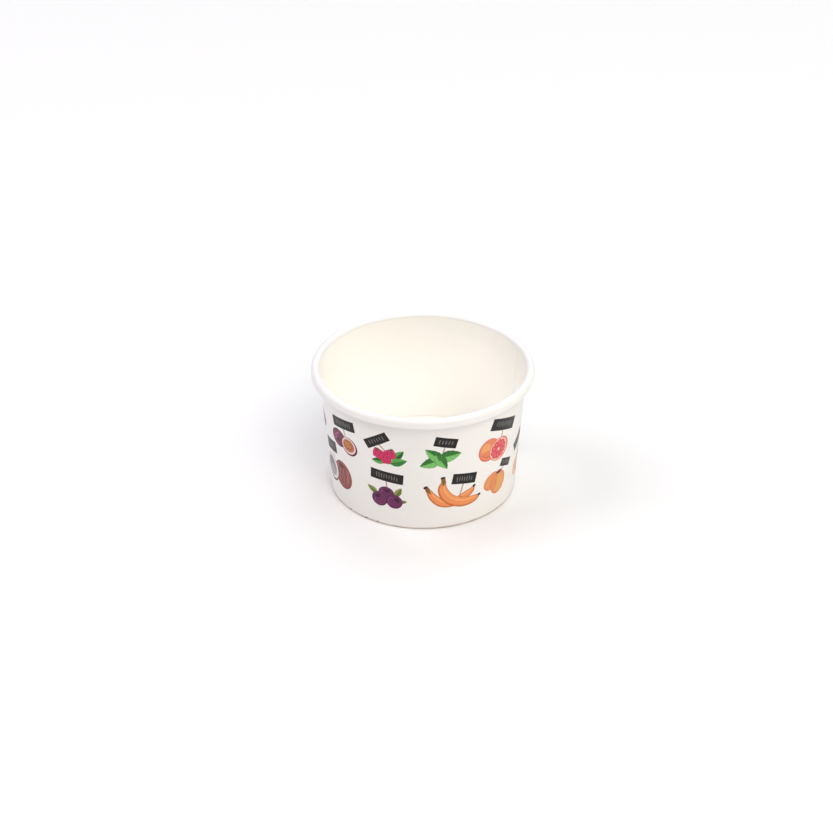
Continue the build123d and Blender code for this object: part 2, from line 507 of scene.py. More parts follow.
    @staticmethod
    def grapefruit(pen: Pen) -> None:
        """A whole grapefruit and a cut half, with their sign."""
        pen.sign(4.4, 9.7, 15.4, 5.2, -20.5, (3.0, 3.5), 9)
        pen.ovals(
            (-3.4, 1.0, 5.2, 5.2, Ink.CITRUS_BLUSH, 0, 36),
            (-3.3, 1.1, 4.9, 4.9, Ink.CITRUS, 0, 36),
            (-4.9, 1.9, 2.4, 2.6, Ink.CITRUS_LIGHT, 20),
            (-4.3, -0.8, 2.3, 1.5, Ink.CITRUS_BLUSH, -15),
            (-4.4, -0.6, 2.0, 1.2, Ink.CITRUS, -15),
        )
        half = pen.moved(2.4, -0.8)
        half.ovals(
            (0, 0, 5.6, 5.3, Ink.CITRUS_BLUSH, 0, 36),
            (0.05, 0.05, 5.35, 5.05, Ink.CITRUS, 0, 36),
            (-0.3, 0, 4.85, 4.85, Ink.CITRUS_PITH, 0, 36),
        )
        wedge = [(0.5, 0), (1.6, -0.58), (3.4, -1.08), (3.98, -0.6), (4.02, 0.5), (3.5, 1.06), (1.7, 0.53)]
        for index in range(10):
            segment = half.moved(-0.4, 0.0, 36 * (index + 0.35), 1.09)
            segment.blob(wedge, Ink.CITRUS_FLESH)
            segment.oval(2.7, 0.1, 0.75, 0.30, Ink.CITRUS_SHINE, 8, 12)
        half.oval(-0.5, 0.0, 0.5, 0.5, Ink.CITRUS_PITH, corners=14)

    @staticmethod
    def apricots(pen: Pen) -> None:
        """Two apricots, one behind the other, with their sign."""
        pen.sign(5.7, 7.2, 7.3, 3.5, -23.0, (2.0, 4.2), 4)
        pen.oval(-2.4, 1.9, 4.5, 3.7, Ink.APRICOT_SHADE, 38)
        pen.oval(-2.4, 2.0, 4.25, 3.45, Ink.APRICOT, 38)
        pen.blob([(-5.4, 0.6), (-4.6, 2.7), (-2.4, 4.3), (-3.6, 2.4), (-4.4, 0.0)], Ink.APRICOT_LIGHT)
        pen.oval(1.5, -0.3, 4.35, 5.2, Ink.APRICOT_SHADE, -8)
        pen.oval(1.55, -0.2, 4.1, 4.95, Ink.APRICOT, -8)
        cheek = [(0.9, 3.9), (3.2, 3.2), (4.9, 0.4), (4.3, -3.0), (1.7, -4.7), (-0.6, -3.6), (0.5, -0.4)]
        pen.blob(cheek, Ink.APRICOT_LIGHT)
        crease = [(0.7, 4.3), (0.1, 1.6), (-0.4, -1.2), (-0.7, -3.4)]
        pen.ribbon(crease, [0.14, 0.16, 0.12, 0.05], Ink.APRICOT_SHADE)
        pen.leaf((-0.2, 4.6), (3.7, 4.9), 0.8, Ink.APRICOT_BLUSH, Ink.PLUM_CROWN, Ink.PLUM_CROWN)

    @staticmethod
    def coconut(pen: Pen) -> None:
        """A whole coconut and a broken half, with their sign."""
        pen.sign(-5.0, 10.1, 9.6, 5.0, 9.0, (-2.2, 5.6), 6)
        whole = pen.moved(3.1, 0.1)
        whole.ovals(
            (0, 0, 5.8, 6.4, Ink.COCONUT_DARK, 0, 36),
            (0.15, 0.1, 5.5, 6.1, Ink.COCONUT, 0, 36),
            (-2.3, 0.6, 2.2, 4.0, Ink.COCONUT_LIGHT, 5),
            (-1.9, -0.2, 1.5, 3.2, Ink.COCONUT, 5),
            (3.3, 0.2, 1.2, 3.4, Ink.COCONUT_LIGHT, -4),
        )
        for index in range(11):
            x = -4.4 + 0.85 * index
            reach = 5.6 * math.sqrt(1 - (x / 5.6) ** 2)
            ink = Ink.COCONUT_DARK if index % 3 else Ink.COCONUT_LIGHT
            line = [(x * 0.8, reach * 0.82), (x, 0.6 * (index % 2)), (x * 0.86, -reach * 0.8)]
            whole.ribbon(line, [0.05, 0.17, 0.05], ink)
        whole.oval(-0.9, 4.0, 2.0, 1.1, Ink.COCONUT_DARK, 6)
        pen.moved(-5.7, -0.8).ovals(
            (0, 0, 5.5, 6.1, Ink.COCONUT_DARK, 0, 36),
            (-0.1, 0.35, 5.25, 5.6, Ink.COCONUT_FLESH, 0, 36),
            (-0.5, 0.4, 4.1, 4.4, Ink.COCONUT_HOLLOW, 0, 36),
            (-0.7, 0.9, 3.5, 3.5, Ink.COCONUT_DEEP, 0, 32),
            (-0.4, -0.9, 2.4, 1.9, Ink.COCONUT_HOLLOW, 15),
        )

    @staticmethod
    def peach(pen: Pen) -> None:
        """A peach with its leaf and sign."""
        pen.sign(-3.4, 13.9, 9.4, 4.8, 28.0, (-0.8, 5.0), 6)
        pen.leaf((0.4, 5.0), (5.6, 7.2), 1.3, *OLIVE_INKS)
        pen.ovals(
            (0, 0.7, 6.1, 5.2, Ink.PEACH_BLUSH, 0, 36),
            (0.1, 0.75, 5.85, 4.95, Ink.PEACH, 0, 36),
            (1.4, 0.3, 4.0, 3.9, Ink.PEACH_LIGHT, 10),
            (-3.3, 1.7, 1.3, 2.4, Ink.PEACH_BLUSH, 20),
            (-3.1, 1.6, 1.1, 2.1, Ink.PEACH, 20),
        )
        crease = [(0.5, 5.4), (-1.1, 2.8), (-1.5, -0.2), (-0.8, -2.9)]
        pen.ribbon(crease, [0.12, 0.18, 0.14, 0.04], Ink.PEACH_BLUSH)

    @staticmethod
    def strawberry(pen: Pen, x: float, y: float, turn: float, scale: float) -> None:
        """One strawberry, pointing down when turn is 0."""
        berry = pen.moved(x, y, turn, scale)
        right = [(1.6, 3.7), (3.4, 2.2), (2.9, -0.8), (0.9, -4.0)]
        left = [(-x, y) for x, y in reversed(right)]
        outline = [*left[2:], *right, *left[:2]]
        berry.blob(outline, Ink.STRAWBERRY_DARK)
        berry.blob([(0.93 * x, 0.93 * y + 0.05) for x, y in outline], Ink.STRAWBERRY)
        berry.oval(-1.3, 0.7, 0.9, 1.8, Ink.STRAWBERRY_LIGHT, -10)
        for row in range(4):
            for index in range(4 - row // 2):
                place = (index - (3 - row // 2) / 2) * 1.45 + 0.35 * (row % 2)
                berry.oval(place, 2.1 - 1.45 * row, 0.15, 0.27, Ink.STRAWBERRY_SEED, corners=8)
        for angle in (20, 60, 100, 140, 175):
            berry.moved(0, 3.4, angle).ribbon([(0, 0), (1.2, 0), (2.4, 0)], [0.35, 0.45, 0.04], Ink.LEAF)

    @classmethod
    def strawberries(cls, pen: Pen) -> None:
        """Two strawberries, with their sign."""
        pen.sign(0.8, 8.7, 9.8, 4.2, 7.0, (0.6, 3.2), 7)
        cls.strawberry(pen, -2.6, 0.1, -24, 1.0)
        cls.strawberry(pen, 3.0, -0.6, 22, 0.9)

    @staticmethod
    def figs(pen: Pen) -> None:
        """A whole fig before a cut half, with their sign."""
        pen.sign(-3.6, 8.6, 8.6, 4.2, 8.0, (-1.8, 3.2), 6)
        half = pen.moved(-2.6, -0.4, -18)
        for inset, ink in ((0.0, Ink.FIG), (0.3, Ink.FIG_PITH), (0.95, Ink.FIG_FLESH)):
            reach, shoulder = 3.5 - inset, 1.9 - inset
            left = [(-reach, -0.6), (-0.75 * reach, shoulder), (0, 4.2 - 1.6 * inset)]
            half.blob([*left, (0.75 * reach, shoulder), (reach, -0.6), (0, -reach - 0.2)], ink)
        for index in range(14):
            angle, reach = 2.4 * index, 0.45 * math.sqrt(index + 0.5)
            x, y = reach * math.cos(angle), reach * math.sin(angle) - 0.5
            half.oval(x, y, 0.16, 0.11, Ink.FIG_PITH, corners=8)
        whole = pen.moved(3.0, 0.2, 8)
        left = [(-3.5, -0.8), (-2.6, 1.6), (-0.9, 3.3)]
        outline = [*left, (0, 4.6), *((-x, y) for x, y in reversed(left)), (0, -3.9)]
        whole.blob(outline, Ink.FIG_DARK)
        whole.blob([(0.93 * x, 0.93 * y) for x, y in outline], Ink.FIG)
        for bend in (-2.2, -1.1, 1.1, 2.2):
            line = [(0.12 * bend, 3.2), (bend, -0.4), (0.5 * bend, -3.1)]
            whole.ribbon(line, [0.04, 0.16, 0.04], Ink.FIG_LIGHT)
        whole.blob([(1.2, 2.6), (2.5, 1.3), (3.2, -0.8), (2.2, -2.6), (2.6, -0.8), (2.0, 1.1)], Ink.FIG_LIGHT)
        whole.oval(0, 4.4, 0.55, 0.75, Ink.OLIVE_DARK)

    @staticmethod
    def kiwi(pen: Pen) -> None:
        """A cut kiwi before a whole one, with their sign."""
        pen.sign(0.0, 8.6, 8.4, 4.2, -6.0, (0.2, 3.4), 5)
        pen.oval(-2.7, 0.7, 4.4, 3.7, Ink.KIWI_SKIN, 12, 36)
        pen.oval(-3.1, 1.2, 2.8, 1.9, Ink.OLIVE_DARK, 12)
        half = pen.moved(2.4, -0.6)
        half.ovals(
            (0, 0, 4.5, 4.2, Ink.KIWI_SKIN, 0, 36),
            (0, 0.05, 4.2, 3.9, Ink.KIWI_LIGHT, 0, 36),
            (0, 0.05, 3.6, 3.3, Ink.KIWI, 0, 36),
            (0, 0.05, 1.5, 1.2, Ink.KIWI_CORE, 0, 20),
        )
        for index in range(18):
            angle, reach = 2 * math.pi * index / 18, 2.1 + 0.35 * (index % 2)
            x, y = reach * math.cos(angle), 0.05 + 0.9 * reach * math.sin(angle)
            half.oval(x, y, 0.24, 0.12, Ink.SEED, math.degrees(angle), 8)


class Motif(Enum):
    """What the sheet is printed with, and the method of Fruit that draws it."""

    BANANAS = "bananas"
    MINT = "mint"
    RASPBERRIES = "raspberries"
    PLUMS = "plums"
    PASSION_FRUIT = "passion_fruit"
    GRAPEFRUIT = "grapefruit"
    APRICOTS = "apricots"
    COCONUT = "coconut"
    PEACH = "peach"
    STRAWBERRIES = "strawberries"
    FIGS = "figs"
    KIWI = "kiwi"

    def draw(self, pen: Pen) -> None:
        """Draws the motif about the pen's origin."""
        getattr(Fruit, self.value)(pen)


@dataclass(frozen=True)
class Placing:
    """Where a motif is printed: degrees to the right of the front, and millimetres above the foot."""

    motif: Motif
    angle: float
    height: float


ARTWORK = tuple(
    Placing(Motif[name], angle, height)
    for name, angle, height in (
        ("FIGS", -83.5, 33.2),
        ("PASSION_FRUIT", -51.0, 32.2),
        ("RASPBERRIES", -22.0, 33.3),
        ("MINT", 10.0, 33.7),
        ("GRAPEFRUIT", 45.5, 31.0),
        ("KIWI", 129.0, 32.4),
        ("STRAWBERRIES", 160.0, 32.2),
        ("PASSION_FRUIT", 190.0, 32.2),
        ("RASPBERRIES", 219.0, 33.3),
        ("MINT", 247.0, 33.7),
        ("COCONUT", -60.0, 15.2),
        ("PLUMS", -21.5, 14.0),
        ("BANANAS", 18.0, 16.5),
        ("APRICOTS", 48.5, 14.0),
        ("PEACH", 79.0, 11.8),
        ("PLUMS", 136.0, 14.0),
        ("BANANAS", 172.0, 16.5),
        ("APRICOTS", 204.0, 14.0),
        ("PEACH", 232.0, 11.8),
        ("PLUMS", 264.0, 14.0),
    )
)


@dataclass(frozen=True)
class Station:
    """A place along a board's middle line, in its radius-height plane.

    Attributes:
        radius, height: where it is.
        heading: the line's direction there, in radians.
        lift: the share of the lap's shift that the board takes there.
        lift_rate: how that share changes for each millimetre along the line.
    """

    radius: float
    height: float
    heading: float
    lift: float
    lift_rate: float


@dataclass
class BoardPath:
    """A board's middle line, drawn from a start as runs and turns, with stations along it.

    Attributes:
        radius, height: where the line has got to.
        heading: its direction, in degrees when the path is made and in radians from then on.
        lift: the share of the lap's shift that the board takes.
        stations: the stations so far.
    """

    radius: float
    height: float
    heading: float
    lift: float = 0.0
    stations: list[Station] = field(default_factory=list)

    def __post_init__(self) -> None:
        """Turns the heading to radians and puts the first station at the start."""
        self.heading = math.radians(self.heading)
        self.mark()

    def mark(self, lift_rate: float = 0.0) -> None:
        """Puts a station where the line has got to."""
        self.stations.append(Station(self.radius, self.height, self.heading, self.lift, lift_rate))

    def run(self, length: float, steps: int = 1, rise: float = 0.0) -> None:
        """Goes straight on for a length, in steps, while the share of the lap's shift eases up by rise."""
        radius, height, lift = self.radius, self.height, self.lift
        for step in range(1, steps + 1):
            at = length * step / steps
            self.radius = radius + at * math.cos(self.heading)
            self.height = height + at * math.sin(self.heading)
            self.lift = lift + rise * smooth(step / steps)
            self.mark(rise * smooth_rate(step / steps) / length)

    def turn(self, bend: float, angle: float, steps: int) -> None:
        """Turns on a radius by an angle in degrees, to the left if it is positive."""
        reach, start = math.copysign(bend, angle), self.heading
        radius, height = self.radius - reach * math.sin(start), self.height + reach * math.cos(start)
        for step in range(1, steps + 1):
            self.heading = start + math.radians(angle) * step / steps
            self.radius = radius + reach * math.sin(self.heading)
            self.height = height - reach * math.cos(self.heading)
            self.mark()


@dataclass(frozen=True)
class CupSizes:
    """The cup's driving dimensions, as in its CAD model."""

    rim_diameter: float
    cup_height: float
    floor_height: float
    foot_diameter: float = 74.0
    wall_board: float = 0.36
    floor_board: float = 0.32
    roll_width: float = 3.45
    roll_height: float = 4.30
    roll_tail_run: float = 0.60
    roll_tail_bend: float = 0.26
    roll_tail_turn: float = 120.0
    lap_width: float = 7.0
    lap_ramp: float = 2.1
    lap_fade_top: float = 2.4
    lap_fade_foot: float = 0.8
    lap_air: float = 0.012
    seam_angle: float = 110.0
    hem_height: float = 5.9
    fold_bend: float = 0.02
    floor_bend: float = 0.30
    skirt_end_gap: float = 0.35
    seal_gap: float = 0.02
    tuck_gap: float = 0.04

    @property
    def foot_radius(self) -> float:
        """Outside of the wall, carried down to the surface that it stands on."""
        return self.foot_diameter / 2

    @property
    def half_wall(self) -> float:
        """Half the wall board's thickness."""
        return self.wall_board / 2

    @property
    def roll_radius(self) -> float:
        """Middle of the board, over the top of the roll."""
        return (self.roll_width - self.wall_board) / 2

    @property
    def crown_height(self) -> float:
        """Height of the centre of the roll's top."""
        return self.cup_height - self.half_wall - self.roll_radius

    @property
    def lean(self) -> float:
        """The wall's lean from upright, in radians."""
        run = self.rim_diameter / 2 - self.roll_width + self.wall_board - self.foot_radius
        return math.atan(run / self.crown_height)

    @property
    def skirt_inset(self) -> float:
        """From the middle of the wall to the middle of the floor's skirt."""
        return self.half_wall + self.seal_gap + self.floor_board / 2

    @property
    def lap_degrees(self) -> float:
        """How far round the cup the lap reaches."""
        return math.degrees(self.lap_width / self.foot_radius)

    @property
    def ramp_degrees(self) -> float:
        """How far round the cup the blank takes to come down beside its inner end."""
        return math.degrees(self.lap_ramp / self.foot_radius)

    @property
    def lap_lift(self) -> float:
        """How far the blank is lifted where it lies on its own inner end."""
        return self.wall_board + self.lap_air

    def faded(self, height: float) -> float:
        """The lap's share of its lift at a height, because the fold at the foot presses it flat."""
        return smooth((height - self.lap_fade_foot) / (self.lap_fade_top - self.lap_fade_foot))

    def wall_middle(self, height: float, inset: float = 0.0) -> float:
        """Radius of the wall's middle line at a height, or of a line that runs inset inside it."""
        slope, rise = math.tan(self.lean), math.cos(self.lean)
        return self.foot_radius + height * slope - (self.half_wall + inset) / rise


class Side(Enum):
    """The two faces of a board: the printed one, on the right of its path, and the one that food touches."""

    PRINT = 1
    FOOD = -1


class Face(Enum):
    """What a patch of a board's surface is, which picks its finish."""

    PRINTED = 0
    COATED = 1
    CUT_EDGE = 2
    ROLLED = 3


class Turn(NamedTuple):
    """A place round the cup on the wrapped blank.

    Attributes:
        travel: degrees along the blank from its outer end.
        angle: the place's angle about +Z from +X, in radians.
        shift: how far the blank is lifted off its own inner end there.
        rate: how that shift changes for each radian.
    """

    travel: float
    angle: float
    shift: float
    rate: float


def placed(name: str, data: bpy.types.ID) -> bpy.types.Object:
    """A new object in the scene that holds the data."""
    made = bpy.data.objects.new(name, data)
    bpy.context.scene.collection.objects.link(made)
    return made


@dataclass
class BoardMesh:
    """Gathers a board's faces with the normal, the ink and the bake place of each corner."""

    vertices: list[Vector] = field(default_factory=list)
    faces: list[tuple[int, ...]] = field(default_factory=list)
    kinds: list[Face] = field(default_factory=list)
    normals: list[Vector] = field(default_factory=list)
    inks: list[Cover] = field(default_factory=list)
    places: list[Point] = field(default_factory=list)

    def vertex(self, point: Vector) -> int:
        """Adds a vertex and gives its number."""
        self.vertices.append(point * MM)
        return len(self.vertices) - 1

    def face(self, corners: Sequence[Corner], kind: Face, ink: Cover = BARE) -> None:
        """Adds a face.

        Args:
            corners: each one's vertex, normal and place on the bake map, in either order round the face.
            kind: what surface it is on.
            ink: what is printed on it.
        """
        a, b, c = (self.vertices[corner[0]] for corner in corners[:3])
        if (b - a).cross(c - a).dot(corners[0][1] + corners[1][1] + corners[2][1]) < 0:
            corners = corners[::-1]
        numbers, normals, places = zip(*corners)
        self.faces.append(numbers)
        self.normals.extend(normals)
        self.places.extend(places)
        self.inks.extend([ink] * len(corners))
        self.kinds.append(kind)

    def make(self, name: str, finishes: Sequence[bpy.types.Material]) -> bpy.types.Object:
        """Makes the object and links it to the scene.

        Args:
            name: the piece's name.
            finishes: the material of each kind of surface, in the order of Face.

        Returns:
            The object.
        """
        mesh = bpy.data.meshes.new(name)
        mesh.from_pydata(self.vertices, [], self.faces)
        for finish in finishes:
            mesh.materials.append(finish)
        mesh.polygons.foreach_set("material_index", [kind.value for kind in self.kinds])
        mesh.polygons.foreach_set("use_smooth", [True] * len(self.faces))
        ink = mesh.color_attributes.new(INK_ATTRIBUTE, "FLOAT_COLOR", "CORNER")
        ink.data.foreach_set("color", [value for colour in self.inks for value in colour])
        bake = mesh.uv_layers.new(name=BAKE_MAP)
        bake.data.foreach_set("uv", [value for place in self.places for value in place])
        mesh.normals_split_custom_set(self.normals)
        mesh.update()
        return placed(name, mesh)


@dataclass(frozen=True)
class BakeArea:
    """A rectangle of the bake map, in shares of it, that a stretch of board is laid out in.

    Attributes:
        left, bottom: its lower left corner.
        width, height: its sides.
    """

    left: float
    bottom: float
    width: float
    height: float

    def at(self, across: float, up: float) -> Point:
        """The place at shares of its width and height."""
        return self.left + across * self.width, self.bottom + up * self.height


def on_cup(angle: float, radius: float, height: float) -> Vector:
    """A point at an angle in radians about +Z from +X."""
    return Vector((radius * math.cos(angle), radius * math.sin(angle), height))


def round_cup(angle: float) -> Vector:
    """The way round the cup at an angle in radians about +Z from +X."""
    return Vector((-math.sin(angle), math.cos(angle), 0))


def off_edge(angle: float, heading: float) -> Vector:
    """The way that a section's line heads in, at an angle in radians about +Z from +X."""
    return on_cup(angle, math.cos(heading), math.sin(heading))


def off_face(angle: float, heading: float) -> Vector:
    """The way that the printed face of a board looks, where its section heads so."""
    return on_cup(angle, math.sin(heading), -math.cos(heading))


PRINT_BAKE = [BakeArea(left, bottom, 0.49, 0.40) for bottom in (0.005, 0.415) for left in (0.005, 0.505)]
WALL_BAKE = {Side.PRINT: BakeArea(0.005, 0.83, 0.60, 0.075), Side.FOOD: BakeArea(0.005, 0.915, 0.60, 0.08)}
HEM_BAKE, ROLL_BAKE = BakeArea(0.62, 0.878, 0.37, 0.008), BakeArea(0.62, 0.846, 0.37, 0.008)
OUTER_END_BAKE, INNER_END_BAKE = BakeArea(0.62, 0.958, 0.37, 0.008), BakeArea(0.62, 0.926, 0.37, 0.008)
FLOOR_BAKE = {Side.FOOD: (0.25, 0.25), Side.PRINT: (0.75, 0.25)}
FLOOR_BAKE_RADIUS = 0.24
SKIRT_BAKE = BakeArea(0.05, 0.7, 0.9 / 6.4, 0.02)


class BoardPiece:
    """A piece cut from one board, with its section swept round the cup.

    Attributes:
        name, node, slot: the piece's name, the CAD node that it stands for, and that node's material slot,
            which is not used.
        near, far: the board's faces, in the order in which they are laid out.
        stations: the places along its section.
        travelled: each station's distance along the section.
        board: what takes its faces.
        numbers: its vertices, by face, station and place round the cup.
    """

    name: str
    node: str
    slot: str
    near: Side
    far: Side

    def start(self, stations: list[Station]) -> None:
        """Starts the piece on its stations."""
        self.stations = stations
        chords = (math.dist((a.radius, a.height), (b.radius, b.height)) for a, b in pairwise(stations))
        self.travelled = list(accumulate(chords, initial=0.0))
        self.board = BoardMesh()
        self.numbers: dict[tuple[Side, int, int], int] = {}

    def add_edge(self, rim: Iterable[tuple[Spot, Vector, float]], area: BakeArea) -> None:
        """Adds the faces of a cut edge.

        Args:
            rim: each spot of the edge as station and place round the cup, its normal, and how far along the
                edge's bake area it is laid out.
            area: that bake area, from the middle of the edge to its near face.
        """
        near, far = (self.near, 1), (self.far, -1)
        for here, following in pairwise(rim):
            ring = ((near, here), (far, here), (far, following), (near, following))
            corners = [
                (self.numbers[side, *spot], facing, area.at(along, up))
                for (side, up), (spot, facing, along) in ring
            ]
            self.board.face(corners, Face.CUT_EDGE)

    def finish(self, finishes: Sequence[bpy.types.Material]) -> bpy.types.Object:
        """Makes the piece with its finishes, riding on the cup's body in place of its CAD node."""
        made = self.board.make(self.name, finishes)
        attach(made, "root")
        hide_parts(self.node)
        log.info("%s: %d faces", self.name, len(self.board.faces))
        return made


@dataclass
class CupWall(BoardPiece):
    """The sidewall: one printed blank, wrapped, lapped, rolled at the rim and folded at the foot.

    Attributes:
        steps_round, lap_steps, ramp_steps: how finely the body, the lap and its ramp are cut.
        foot_lift: the share of the lap's shift that is left in the pressed foot.
        hem_steps, fold_steps, fade_steps, wall_steps, roll_steps: how finely the hem, each half of the fold,
            the stretch where the lap rises, the wall above, and the roll's top, underside and tail are cut.
        print_radius: radius that the print is laid out at.
        shade_and_rub_fade, rubbed: the steps that the fold's band fades over, and its brown, which is partly
            painted warm contact shade where the foot meets the floor and partly rubbing of the board.
        least_shade_and_rub, shade_and_rub_seed: the least strength of that band, and the seed of its
            unevenness round the cup.
        scuffed, scuffs, nick_shade_cover: the colour of dark spots painted on the fold as the shade of small
            nicks
        in the hem, the angles where they are, and their cover.
    """

    sizes: CupSizes
    name: str = "printed_wall"
    node: str = "cup_wall"
    slot: str = "wall_board"
    near: Side = Side.PRINT
    far: Side = Side.FOOD
    steps_round: int = 256
    lap_steps: int = 10
    ramp_steps: int = 6
    foot_lift: float = 0.04
    hem_steps: int = 6
    fold_steps: int = 7
    fade_steps: int = 4
    wall_steps: int = 10
    roll_steps: tuple[int, int, int] = (22, 16, 8)
    print_radius: float = 39.0
    # The fold's brown band is partly painted warm contact shade where the foot meets the floor, and partly
    # rubbing.
    shade_and_rub_fade: int = 3
    shade_and_rub_colour: Colour = (150, 98, 38)
    least_shade_and_rub: float = 0.45
    shade_and_rub_seed: int = 19
    # Dark spots painted on the fold at three angles, standing in for the shade of small nicks in the hem.
    nick_shade_colour: Colour = (54, 52, 46)
    nick_shade_angles: tuple[float, ...] = (-49.6, -36.6, -28.8)
    nick_shade_cover: float = 2.2

    def __post_init__(self) -> None:
        """Lays out the blank's section and its places round the cup, and paints contact shade and rubbing on
        its fold.
        """
        self.start(self.section())
        self.turns = self.places_round()
        self.wrap = self.turns[-1].travel
        self.outer_end = self.sizes.seam_angle - self.sizes.lap_degrees
        self.shades_and_rubs = self.fold_shades_and_rubs()

    def section(self) -> list[Station]:
        """The blank's stations from the hem's edge to the roll's edge, and where the straight wall is."""
        size, lean = self.sizes, self.sizes.lean
        half, degrees = size.half_wall, math.degrees(lean)
        fold = size.fold_bend + half
        under = size.roll_radius - (2 * size.wall_board + size.tuck_gap) / 2
        start = size.wall_middle(size.hem_height, 2 * size.skirt_inset)
        path = BoardPath(start, size.hem_height, -90 - degrees, self.foot_lift)
        path.run((size.hem_height - half - fold * (1 + math.sin(lean))) / math.cos(lean), self.hem_steps)
        path.turn(fold, 90 + degrees, self.fold_steps)
        wall_foot = half + fold * (1 - math.sin(lean))
        path.run(size.wall_middle(wall_foot) - fold * math.cos(lean) - path.radius)
        path.turn(fold, 90 - degrees, self.fold_steps)
        self.first = len(path.stations) - 1
        path.run((size.lap_fade_foot - path.height) / math.cos(lean))
        fade = (size.lap_fade_top - size.lap_fade_foot) / math.cos(lean)
        path.run(fade, self.fade_steps, 1 - self.foot_lift)
        top = size.crown_height + size.roll_radius * math.sin(lean)
        path.run((top - path.height) / math.cos(lean), self.wall_steps)
        self.last = len(path.stations) - 1
        path.turn(size.roll_radius, degrees - 180, self.roll_steps[0])
        path.run(size.roll_height - size.wall_board - size.roll_radius - under)
        path.turn(under, -180 - degrees, self.roll_steps[1])
        path.run(size.roll_tail_run)
        tail = size.roll_tail_bend + half + size.wall_board
        path.turn(tail, -size.roll_tail_turn, self.roll_steps[2])
        return path.stations

    def places_round(self) -> list[Turn]:
        """The places round the cup that cut the blank into strips, from its outer end to its inner end."""
        lap, ramp, full = self.sizes.lap_degrees, self.sizes.ramp_degrees, self.sizes.lap_lift
        start = math.radians(self.sizes.seam_angle - 90.0 - lap)
        stretches = (
            (0.0, lap, self.lap_steps),
            (lap, ramp, self.ramp_steps),
            (lap + ramp, 360 - lap - ramp, self.steps_round),
            (360, lap, self.lap_steps),
        )
        travels = [begin + span * step / steps for begin, span, steps in stretches for step in range(steps)]
        made = []
        for travel in (*travels, 360 + lap):
            down = (travel - lap) / ramp
            rate = -full * smooth_rate(down) / math.radians(ramp)
            made.append(Turn(travel, start + math.radians(travel), full * (1 - smooth(down)), rate))
        return made

    def point(self, side: Side, station: Station, turn: Turn) -> Vector:
        """A point on one face of the board."""
        out = side.value * self.sizes.half_wall + station.lift * turn.shift
        radius = station.radius + out * math.sin(station.heading)
        return on_cup(turn.angle, radius, station.height - out * math.cos(station.heading))

    def normal(self, side: Side, station: Station, turn: Turn) -> Vector:
        """The board's outward normal on one of its faces."""
        slope = off_face(turn.angle, station.heading)
        slope -= round_cup(turn.angle) * (station.lift * turn.rate / station.radius)
        slope -= off_edge(turn.angle, station.heading) * (station.lift_rate * turn.shift)
        return slope.normalized() * side.value

    def corner(self, side: Side, row: int, column: int) -> Corner:
        """A corner of the board's grid: its vertex, normal and bake place."""
        turn = self.turns[column]
        place = WALL_BAKE[side].at(turn.travel / self.wrap, self.travelled[row] / self.travelled[-1])
        return self.numbers[side, row, column], self.normal(side, self.stations[row], turn), place

    def artwork(self, length: float) -> list[Patch]:
        """The printed patches on the unrolled straight wall of a given length.

        Args:
            length: how far the straight wall reaches up the board.

        Returns:
            The patches from the wall's lower corner at its outer end, the later over the earlier.
        """
        patches: list[Patch] = []
        size = self.sizes
        for placing in ARTWORK:
            travel = math.radians((placing.angle - self.outer_end) % 360)
            radius = size.wall_middle(placing.height, -size.wall_board)
            up = (placing.height - self.stations[self.first].height) / math.cos(size.lean)
            pen = Pen(patches, travel * self.print_radius, up, taper=self.print_radius / radius)
            placing.motif.draw(pen)
        width = math.radians(self.wrap) * self.print_radius
        for patch in patches:
            if not all(0 < x < width and 0 < y < length for x, y in patch.outline):
                raise ValueError(f"a {patch.ink.name} patch runs off the sheet")
        return patches

    def add_print(self) -> None:
        """Adds the straight wall's printed face, cut along every edge of the artwork."""
        base = self.travelled[self.first]
        rows = [travelled - base for travelled in self.travelled[self.first : self.last + 1]]
        columns = [math.radians(turn.travel) * self.print_radius for turn in self.turns]
        length, width = rows[-1], columns[-1]
        points = [end for x in columns for end in ((x, 0), (x, length))]
        points += [end for y in rows for end in ((0, y), (width, y))]
        edges = [(number, number + 1) for number in range(0, len(points), 2)]
        patches, outlines = self.artwork(length), []
        for patch in patches:
            outlines.append(list(range(len(points), len(points) + len(patch.outline))))
            points += patch.outline
        cut = delaunay_2d_cdt([Vector(point) for point in points], edges, outlines, 0, NEAR, True)
        flat, _, faces, _, _, covers = cut
        grid = product(enumerate(columns), enumerate(rows))
        known = {(round(x, 2), round(y, 2)): (row, column) for (column, x), (row, y) in grid}
        corners = []
        for x, y in flat:
            row, column = known.get((round(x, 2), round(y, 2)), (None, None))
            if row in (0, len(rows) - 1) or column in (0, len(columns) - 1):
                station, turn = self.stations[self.first + row], self.turns[column]
                number = self.numbers[Side.PRINT, self.first + row, column]
            else:
                station, turn = self.station_at(y), self.turn_at(math.degrees(x / self.print_radius))
                number = self.board.vertex(self.point(Side.PRINT, station, turn))
            corners.append((number, self.normal(Side.PRINT, station, turn), (turn.travel, y / length)))
        count = len(PRINT_BAKE)
        for face, cover in zip(faces, covers):
            middle = sum(corners[number][2][0] for number in face) / len(face)
            strip = min(count - 1, int(middle / self.wrap * count))
            placed = []
            for vertex, normal, (travel, up) in (corners[number] for number in face):
                placed.append((vertex, normal, PRINT_BAKE[strip].at(travel / self.wrap * count - strip, up)))
            ink = patches[max(cover)].ink.corner() if cover else BARE
            # Bare faces just above the fold carry on the fold's painted contact shade and rubbing.
            if not cover and max(flat[number].y for number in face) < rows[1] + 10 * NEAR:
                ink = self.fold_shade_and_rub(self.strip_of(middle), 0)
            self.board.face(placed, Face.PRINTED, ink)
        log.info("%d patches of ink, %d faces of printed wall", len(patches), len(faces))

